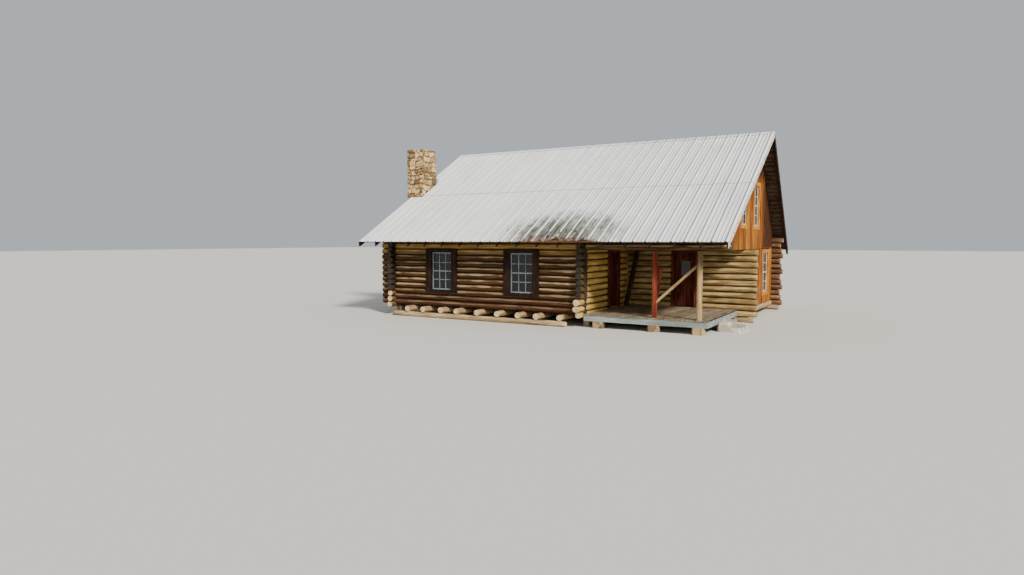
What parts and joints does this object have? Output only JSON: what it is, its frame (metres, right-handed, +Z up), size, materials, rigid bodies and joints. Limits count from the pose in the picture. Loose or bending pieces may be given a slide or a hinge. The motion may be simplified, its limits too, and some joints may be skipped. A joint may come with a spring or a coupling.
{
  "type": "log cabin",
  "caption": "Log cabin with notched round logs, an asymmetrical ribbed metal gable roof, a recessed corner porch, a board-clad end wall and a fieldstone chimney.",
  "frame": {"origin": "on the ground under the middle of the overall box", "axes": "+X along the ridge towards the porch end, the front with its two windows faces -Y, +Z up"},
  "size_m": [14.67, 11.08, 7.0546],
  "materials": {
    "log_wood": "weathered, bark scraped off",
    "sill_wood": "weathered grey-brown",
    "end_boards": "orange-brown vertical boards",
    "dark_trim": "very dark brown boards",
    "door_wood": "red-brown, faded",
    "white_sash": "painted, chalky",
    "pale_boards": "bleached grey boards",
    "rough_lumber": "rough sawn",
    "roof_metal": "light grey, matt, rust at the eave",
    "hinge_iron": "rusty black",
    "fieldstone": "rough tan stone in mortar",
    "glass": "old window glass"
  },
  "bodies": {
    "cabin": {"stone_piers": "fieldstone", "sill_logs": "sill_wood", "floor_joists": "sill_wood", "floor_boards": "rough_lumber", "front_wall_odd_logs": "log_wood", "front_wall_even_logs": "log_wood", "rear_wall_odd_logs": "log_wood", "rear_wall_even_logs": "log_wood", "left_wall_odd_logs": "log_wood", "left_wall_even_logs": "log_wood", "porch_side_wall_odd_logs": "log_wood", "porch_side_wall_even_logs": "log_wood", "porch_back_wall_odd_logs": "log_wood", "porch_back_wall_even_logs": "log_wood", "right_wall_boards": "end_boards", "right_gable_boards": "end_boards", "left_gable_boards": "end_boards", "log_window_frames": "dark_trim", "end_window_frames": "end_boards", "window_sashes": "white_sash", "window_panes": "glass", "side_door_frame": "door_wood", "back_door_frame": "door_wood", "door_hinge_pins": "hinge_iron", "loft_joists": "rough_lumber", "loft_floor": "rough_lumber", "rafters": "rough_lumber", "ridge_board": "rough_lumber", "roof_lath": "rough_lumber", "front_roof_sheet": "roof_metal", "rear_roof_sheet": "roof_metal", "ridge_cap": "roof_metal", "rake_boards": "pale_boards", "porch_floor": "pale_boards", "porch_frame": "pale_boards", "porch_posts": "log_wood", "porch_brace": "pale_boards", "leaning_timbers": "dark_trim", "porch_steps": "fieldstone", "chimney": "fieldstone"},
    "side_door": {"side_door": "door_wood", "side_door_hinges": "hinge_iron"},
    "back_door": {"back_door": "door_wood", "back_door_glass": "glass", "back_door_hinges": "hinge_iron"}
  },
  "joints": [
    {"name": "side_door_hinge", "type": "hinge", "parent": "cabin", "child": "side_door", "pos_m": [2.148, -1.699, 1.5], "axis": [0, 0, -1], "range_deg": [0, 95]},
    {"name": "back_door_hinge", "type": "hinge", "parent": "cabin", "child": "back_door", "pos_m": [4.229, -0.403, 1.5], "axis": [0, 0, 1], "range_deg": [0, 95]}
  ]
}
